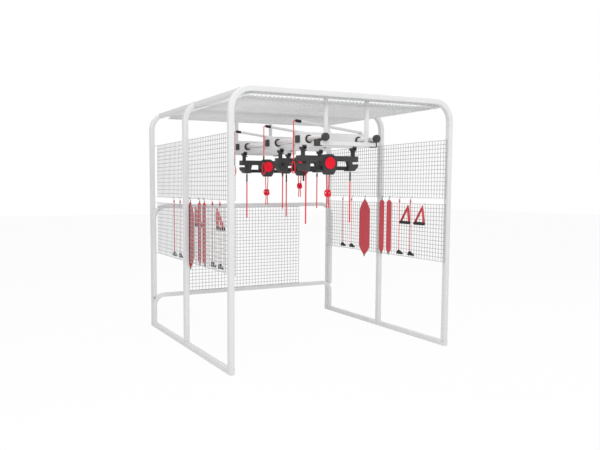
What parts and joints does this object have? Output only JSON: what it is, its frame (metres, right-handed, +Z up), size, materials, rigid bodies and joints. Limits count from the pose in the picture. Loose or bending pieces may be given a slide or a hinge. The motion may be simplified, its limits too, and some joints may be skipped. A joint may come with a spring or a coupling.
{
  "type": "suspension rehabilitation frame",
  "caption": "Free-standing tube frame with side grilles and overhead sliding beams that carry rope suspension units for suspended therapy exercises.",
  "frame": {"origin": "on the floor, in the middle of the frame's width and depth", "axes": "+Z up, -Y towards the open front, +X to the right seen from the front"},
  "size_m": [2.37, 2.16, 2.4],
  "materials": {
    "white_paint": "white powder coat, satin",
    "wire_paint": "pale grey powder coat on welded wire",
    "polished_steel": "ground and polished",
    "beam_paint": "pale grey coated extrusion",
    "arm_paint": "white coated tube",
    "charcoal_plastic": "moulded charcoal housing, fine texture",
    "red_rope": "braided red rope",
    "red_webbing": "woven red webbing and cloth"
  },
  "bodies": {
    "root": {"front_hoop": "white_paint", "middle_hoop": "white_paint", "rear_hoop": "white_paint", "left_floor_rail": "white_paint", "right_floor_rail": "white_paint", "left_front_top_rail": "white_paint", "left_rear_top_rail": "white_paint", "right_front_top_rail": "white_paint", "right_rear_top_rail": "white_paint", "lower_rear_arch": "white_paint", "upper_rear_arch": "white_paint", "front_hanger_frame": "white_paint", "rear_hanger_frame": "white_paint", "left_lower_grille": "wire_paint", "left_upper_grille": "wire_paint", "right_lower_grille": "wire_paint", "right_upper_grille": "wire_paint", "rear_grille": "wire_paint", "ceiling_grille": "wire_paint", "left_shaft": "polished_steel", "right_shaft": "polished_steel", "left_wide_sling": "red_webbing", "right_wide_sling": "red_webbing", "left_narrow_sling_rear": "red_webbing", "left_narrow_sling_front": "red_webbing", "right_narrow_sling_rear": "red_webbing", "right_narrow_sling_front": "red_webbing", "left_handle_rear": "red_webbing", "left_handle_front": "red_webbing", "right_handle_rear": "red_webbing", "right_handle_front": "red_webbing", "left_thin_cord_1": "red_rope", "left_thin_cord_2": "red_rope", "left_thin_cord_3": "red_rope", "left_thin_cord_4": "red_rope", "right_thin_cord_1": "red_rope", "right_thin_cord_2": "red_rope", "right_thin_cord_3": "red_rope", "right_thin_cord_4": "red_rope"},
    "front_carriage": {"front_beam": "beam_paint"},
    "front_unit": {"front_suspension_unit": "charcoal_plastic", "front_left_rope": "red_rope", "front_right_rope": "red_rope", "front_centre_cords": "red_rope"},
    "front_arm": {"front_release_arm": "arm_paint"},
    "front_cord": {"front_pull_cord": "red_rope"},
    "middle_carriage": {"middle_beam": "beam_paint"},
    "middle_unit": {"middle_suspension_unit": "charcoal_plastic", "middle_left_rope": "red_rope", "middle_right_rope": "red_rope", "middle_centre_cords": "red_rope"},
    "middle_arm": {"middle_release_arm": "arm_paint"},
    "middle_cord": {"middle_pull_cord": "red_rope"},
    "rear_carriage": {"rear_beam": "beam_paint"},
    "rear_unit": {"rear_suspension_unit": "charcoal_plastic", "rear_left_rope": "red_rope", "rear_right_rope": "red_rope", "rear_centre_cords": "red_rope"},
    "rear_arm": {"rear_release_arm": "arm_paint"},
    "rear_cord": {"rear_pull_cord": "red_rope"}
  },
  "joints": [
    {"name": "front_carriage_slide", "type": "slide", "parent": "root", "child": "front_carriage", "axis": [0, 1, 0], "range_m": [-0.12, 0.2]},
    {"name": "front_unit_slide", "type": "slide", "parent": "front_carriage", "child": "front_unit", "axis": [1, 0, 0], "range_m": [-0.02, 0.05]},
    {"name": "front_arm_pull", "type": "hinge", "parent": "front_carriage", "child": "front_arm", "pos_m": [0.352, -0.741, 2.084], "axis": [0, -1, 0], "range_deg": [0, 6], "stiffness_Nm_per_rad": 14, "springref_deg": -28.65},
    {"name": "front_cord_hang", "type": "hinge", "parent": "front_arm", "child": "front_cord", "pos_m": [-0.39052, -0.741, 2.14899], "axis": [0, 1, 0], "range_deg": [0, 6.5]},
    {"name": "middle_carriage_slide", "type": "slide", "parent": "root", "child": "middle_carriage", "axis": [0, 1, 0], "range_m": [-0.2, 0.2]},
    {"name": "middle_unit_slide", "type": "slide", "parent": "middle_carriage", "child": "middle_unit", "axis": [1, 0, 0], "range_m": [-0.05, 0.05]},
    {"name": "middle_arm_pull", "type": "hinge", "parent": "middle_carriage", "child": "middle_arm", "pos_m": [0.352, -0.154, 2.084], "axis": [0, -1, 0], "range_deg": [0, 6], "stiffness_Nm_per_rad": 14, "springref_deg": -28.65},
    {"name": "middle_cord_hang", "type": "hinge", "parent": "middle_arm", "child": "middle_cord", "pos_m": [-0.39052, -0.154, 2.14899], "axis": [0, 1, 0], "range_deg": [0, 6.5]},
    {"name": "rear_carriage_slide", "type": "slide", "parent": "root", "child": "rear_carriage", "axis": [0, 1, 0], "range_m": [-0.3, 0.28]},
    {"name": "rear_unit_slide", "type": "slide", "parent": "rear_carriage", "child": "rear_unit", "axis": [1, 0, 0], "range_m": [-0.05, 0.05]},
    {"name": "rear_arm_pull", "type": "hinge", "parent": "rear_carriage", "child": "rear_arm", "pos_m": [0.352, 0.539, 2.084], "axis": [0, -1, 0], "range_deg": [0, 6], "stiffness_Nm_per_rad": 14, "springref_deg": -28.65},
    {"name": "rear_cord_hang", "type": "hinge", "parent": "rear_arm", "child": "rear_cord", "pos_m": [-0.39052, 0.539, 2.14899], "axis": [0, 1, 0], "range_deg": [0, 6.5]}
  ],
  "couplings": [
    {"joint": "front_cord_hang", "follows": "front_arm_pull", "ratio": 1},
    {"joint": "middle_cord_hang", "follows": "middle_arm_pull", "ratio": 1},
    {"joint": "rear_cord_hang", "follows": "rear_arm_pull", "ratio": 1}
  ]
}
